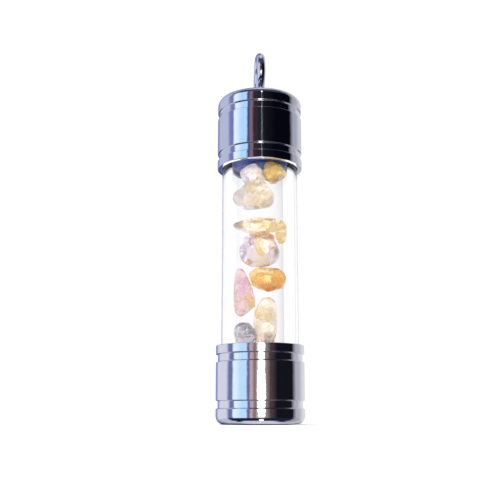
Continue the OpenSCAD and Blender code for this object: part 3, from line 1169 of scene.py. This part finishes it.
@dataclass
class Studio:
    """Pale floor, even white surroundings, a soft box, a ring of cards to mirror, and the camera.

    Angles are in degrees. A row of four angles is where a band starts, is full, is still full
    and ends.
    """

    dome_radius: float = 0.7
    tone_change: tuple[float, float] = (7.0, 17.0)
    below: tuple[float, float, float, float] = (-66.0, -56.0, -20.0, -12.0)
    above: tuple[float, float, float, float] = (40.0, 52.0, 74.0, 80.0)
    below_tone: tuple[float, float, float] = (0.012, 0.014, 0.045)
    above_tone: tuple[float, float, float] = (0.05, 0.055, 0.11)
    pale_tone: tuple[float, float, float] = (0.62, 0.61, 0.66)
    warm_tone: tuple[float, float, float] = (1.25, 1.17, 1.06)
    warmth: float = 0.66
    backdrop_white: float = 1.05
    # Painted shade: seen through the tube, the backdrop greys towards the edges of the bore, more on the
    # right.
    painted_shade_half: float = 18.7
    painted_tube_shade: tuple[float, float] = (0.20, 0.34)
    spot_azimuth: float = 6.2
    spot_elevation: float = 36.0
    lamp_azimuth: float = 3.0
    lamp_rows: tuple[tuple[float, ...], tuple[float, ...]] = (
        (-60.0, -52.0, -40.0, -34.0, -8.0, -5.0, 6.2, 7.2), (0.0, 1.0, 1.0, 0.0, 0.0, 1.0, 1.0, 0.0))
    lamp_width: tuple[tuple[float, ...], tuple[float, ...]] = (
        (-3.0, -0.2, 1.6, 3.5, 4.7, 6.1), (6.0, 7.5, 10.5, 8.0, 5.0, 8.0))
    lamp_edge: tuple[float, float] = (-1.0, 1.4)
    lamp_tone: float = 3.5
    line_width: tuple[float, float] = (0.5, 1.1)
    line_rows: tuple[float, float, float, float] = (8.0, 12.0, 40.0, 46.0)
    line_tone: float = 0.26
    spot_width: tuple[float, float] = (0.8, 1.8)
    spot_tone: float = 4.0
    front_edge: tuple[float, float] = (88.0, 100.0)
    rear_edge: tuple[float, float] = (150.0, 165.0)
    tube_crossings: float = 4.5
    cards_strength: float = 1.1
    surround_strength: float = 1.05
    floor_size: float = 3.0
    soft_box_size: tuple[float, float] = (0.25, 0.35)
    soft_box_power: float = 2.2
    soft_box_place: tuple[float, float, float] = (-0.12, -0.22, 0.62)
    soft_box_aim: tuple[float, float, float] = (0.0, 0.0, 0.03)
    lens: float = 56.4
    camera_place: tuple[float, float, float] = (0.0, -121.5 * MM, 1.47 * MM)
    camera_pitch: float = 11.87
    camera_yaw: float = 0.74

    def world(self) -> None:
        """Even white surroundings."""
        world = bpy.data.worlds.new("white_surround")
        world.use_nodes = True
        background = world.node_tree.nodes["Background"]
        background.inputs["Color"].default_value = (1.0, 1.0, 1.0, 1.0)
        background.inputs["Strength"].default_value = self.surround_strength
        bpy.context.scene.world = world

    def floor(self) -> None:
        """A pale round floor under the base face. The plating doesn't mirror it."""
        skin = Skin()
        half = self.floor_size / 2
        path = np.array([[0, -0.02], [half, -0.02], [half, 0.0], [0.0, 0.0]])
        skin.add_rings(revolve(path, around=64))
        floor = skin.build("floor")
        floor.data.polygons.foreach_set("use_smooth", np.zeros(len(floor.data.polygons), bool))
        material, graph, shader = new_material("pale_floor")
        set_inputs(graph, shader, {"Base Color": (0.96, 0.96, 0.96, 1.0), "Roughness": 0.9})
        dress(floor, material)
        floor.visible_glossy = False

    def tones(self, azimuth: np.ndarray, elevation: np.ndarray) -> np.ndarray:
        """The dome's colour over azimuth and elevation.

        Along the azimuth the cards' colours blend in straight lines. Over the elevation the low
        tone turns into the high one, then into a dark band, and into a pale tone at each pole.

        Args:
            azimuth: degrees, one row of the grid.
            elevation: degrees, one column of the grid.

        Returns:
            An array of shape (elevations, azimuths, 3).
        """
        at = np.array([edge for card in CARDS for edge in (card.start, card.stop)])
        row = []
        for kind in ("low", "high"):
            values = np.array([getattr(card, kind) for card in CARDS for _ in range(2)])
            row.append(np.stack([np.interp(azimuth, at, values[:, k], period=360) for k in range(3)], axis=1))
        rise = np.interp(elevation, self.tone_change, (0, 1))[:, None, None]
        tone = row[0] * (1 - rise) + row[1] * rise
        front = np.interp(np.abs(azimuth), self.front_edge, (1, 0.25))[None, :, None]
        behind = np.interp(np.abs(azimuth), self.rear_edge, (0, 1))[None, :, None]
        under = np.interp(elevation, self.below, (0, 1, 1, 0))[:, None, None] * np.maximum(front, behind)
        over = np.interp(elevation, self.above, (0, 1, 1, 0))[:, None, None] * front
        pole = np.interp(elevation, (*self.below[:2], *self.above[2:]), (1, 0, 0, 1))
        tone = tone * (1 - under) + np.array(self.below_tone) * under
        tone = tone * (1 - over) + np.array(self.above_tone) * over
        tone = tone * (1 - pole[:, None, None]) + np.array(self.pale_tone) * pole[:, None, None]
        across = np.abs(azimuth - self.spot_azimuth)[None, :, None]
        up = elevation[:, None, None]
        line = np.interp(across, self.line_width, (1, 0)) * np.interp(up, self.line_rows, (0, 1, 1, 0))
        half = np.interp(elevation, *self.lamp_width)[:, None]
        beside = np.abs(azimuth - self.lamp_azimuth)[None, :] - half
        lamp = np.interp(beside, self.lamp_edge, (1, 0)) * np.interp(elevation, *self.lamp_rows)[:, None]
        spot = np.interp(np.hypot(across, up - self.spot_elevation), self.spot_width, (1, 0))
        return tone + self.line_tone * line + self.spot_tone * spot + self.lamp_tone * lamp[..., None]

    def backdrop(self, azimuth: np.ndarray) -> np.ndarray:
        """The white of the backdrop behind the tube over the azimuth, with painted shade that greys it
        towards its two edges.

        From the middle to each edge the grey grows with the power 1.6 of the angle. Past the
        edges it is white again.
        """
        off = 180 - np.abs(azimuth)
        # Painted shade in the backdrop, standing in for the darker edges of the bore.
        depth = np.where(azimuth > 0, self.painted_tube_shade[1], self.painted_tube_shade[0])
        grown = depth * (off / self.painted_shade_half) ** 1.6
        return self.backdrop_white * (1 - np.where(off < self.painted_shade_half, grown, 0.02))

    def dome(self) -> None:
        """Makes the ring of cards as one sphere, which is unseen except in reflections and in the chips.

        A ray that has only passed through the tube crosses four glass faces at the most, and sees
        the white backdrop with its painted shade. A ray that has also passed through a chip sees the cards,
        warmed.
        """
        azimuth = np.arange(-180, 180, 0.5)
        elevation = np.concatenate([
            np.arange(-89, -20, 3.0), np.arange(-20, 60, 1.0), np.arange(60, 90, 2.0)])
        up, turn = np.radians(elevation)[:, None], np.radians(azimuth)[None, :]
        grid = self.dome_radius * np.stack([
            np.cos(up) * np.sin(turn), -np.cos(up) * np.cos(turn), np.sin(up) + 0 * turn,
        ], axis=2)
        mesh = bpy.data.meshes.new("studio_cards")
        mesh.from_pydata(grid.reshape(-1, 3).tolist(), [], skin_faces(*grid.shape[:2], False).tolist())
        tone = np.ones((*grid.shape[:2], 4))
        tone[..., :3] = self.tones(azimuth, elevation)
        # The backdrop that rays through the tube see: white, with painted shade towards its edges.
        white = np.ones_like(tone)
        white[..., :3] = self.backdrop(azimuth)[None, :, None]
        for name, values in (("tone", tone), ("backdrop", white)):
            mesh.color_attributes.new(name, "FLOAT_COLOR", "POINT").data.foreach_set("color", values.ravel())
        dome = bpy.data.objects.new("studio_cards", mesh)
        bpy.context.scene.collection.objects.link(dome)
        material = bpy.data.materials.new("studio_cards")
        material.use_nodes = True
        graph = Graph(material.node_tree)
        tones = graph.add("ShaderNodeVertexColor", layer_name="tone").outputs["Color"]
        behind = graph.add("ShaderNodeVertexColor", layer_name="backdrop").outputs["Color"]
        rays = graph.add("ShaderNodeLightPath")
        few = graph.math("LESS_THAN", rays.outputs["Transmission Depth"], self.tube_crossings)
        passed = graph.mix(few, graph.mix(self.warmth, tones, colour(self.warm_tone)), behind)
        seen = graph.mix(rays.outputs["Is Transmission Ray"], tones, passed)
        light = graph.add("ShaderNodeEmission", {"Color": seen, "Strength": self.cards_strength})
        output = graph.tree.nodes["Material Output"]
        graph.tree.links.new(light.outputs[0], output.inputs["Surface"])
        dress(dome, material)
        log.info("studio cards: %s", ", ".join(card.name for card in CARDS))
        for kind in ("camera", "diffuse", "shadow", "volume_scatter"):
            setattr(dome, "visible_" + kind, False)

    def soft_light(self) -> None:
        """A soft box to the upper left, which lights the pieces but is unseen by glossy rays."""
        data = bpy.data.lights.new("soft_box", "AREA")
        data.shape = "RECTANGLE"
        data.size, data.size_y = self.soft_box_size
        data.energy = self.soft_box_power
        light = bpy.data.objects.new("soft_box", data)
        light.location = self.soft_box_place
        aim = Vector(self.soft_box_aim) - light.location
        light.rotation_euler = aim.to_track_quat("-Z", "Y").to_euler()
        light.visible_glossy = False
        bpy.context.scene.collection.objects.link(light)

    def camera(self) -> None:
        """A close camera at the height of the bottom cap, looking up along the vial."""
        data = bpy.data.cameras.new("camera")
        data.lens = self.lens
        data.clip_start = 0.005
        data.clip_end = 20.0
        camera = bpy.data.objects.new("camera", data)
        camera.location = self.camera_place
        pitch, yaw = math.radians(self.camera_pitch), math.radians(self.camera_yaw)
        camera.rotation_euler = (math.pi / 2 + pitch, 0.0, yaw)
        bpy.context.scene.collection.objects.link(camera)
        bpy.context.scene.camera = camera

    def build(self) -> None:
        """Sets up the whole studio."""
        self.world()
        self.floor()
        self.dome()
        self.soft_light()
        self.camera()
        bpy.context.scene.view_settings.view_transform = "Standard"


# --------------------------------------------------------------------------- the object


class SampleVial:
    """The whole vial, built from the places of its CAD nodes."""

    def __init__(self) -> None:
        """Reads the places that the pieces share."""
        self.effects = SharedEffects()
        self.bottom_low, self.bottom_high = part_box("bottom_cap")
        self.top_low, self.top_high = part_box("top_cap")
        self.glass_low, self.glass_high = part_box("glass_vial")
        self.pad_low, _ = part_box("base_pad")
        self.eye_low, self.eye_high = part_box("hanging_eye")
        _, self.plug_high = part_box("cap_plug")

    def build(self) -> None:
        """Builds and dresses every piece."""
        cap_plating = PlatedFinish("cap_plating", (0.88, 0.90, 0.94)).make(self.effects)
        eye_plating = PlatedFinish("eye_plating", (0.86, 0.87, 0.90), base_roughness=0.06).make(self.effects)
        TurnedCap(
            "bottom_cap", "cap_chrome", Body.VIAL, rim_z=self.bottom_high.z, end_z=self.bottom_low.z,
            socket_end_z=self.pad_low.z,
        ).build(cap_plating)
        TurnedCap(
            "top_cap", "cap_chrome", Body.CAP, rim_z=self.top_low.z, end_z=self.top_high.z,
            socket_end_z=self.plug_high.z, hole_radius=EYE_HOLE_RADIUS,
        ).build(cap_plating)
        HangingEye(
            ring_centre_z=self.eye_high.z - EYE_TOP_OVER_CENTRE, cap_end_z=self.top_high.z,
            shank_low_z=self.eye_low.z,
        ).build(eye_plating)
        GlassVial(
            outer_radius=self.glass_high.x, bore_radius=self.glass_high.x - GLASS_WALL,
            bottom_z=self.glass_low.z, top_z=self.glass_high.z,
        ).build(GlassFinish().make(self.effects))
        minerals = {mineral: mineral.value.make() for mineral in Mineral}
        for chip in chip_set():
            chip.build(self.effects, minerals)
        Closure().dress(self.effects)


def main() -> None:
    """Builds the studio and the vial."""
    logging.basicConfig(level=logging.INFO, format="%(name)s: %(message)s")
    Studio().build()
    SampleVial().build()


if __name__ == "__main__":
    main()
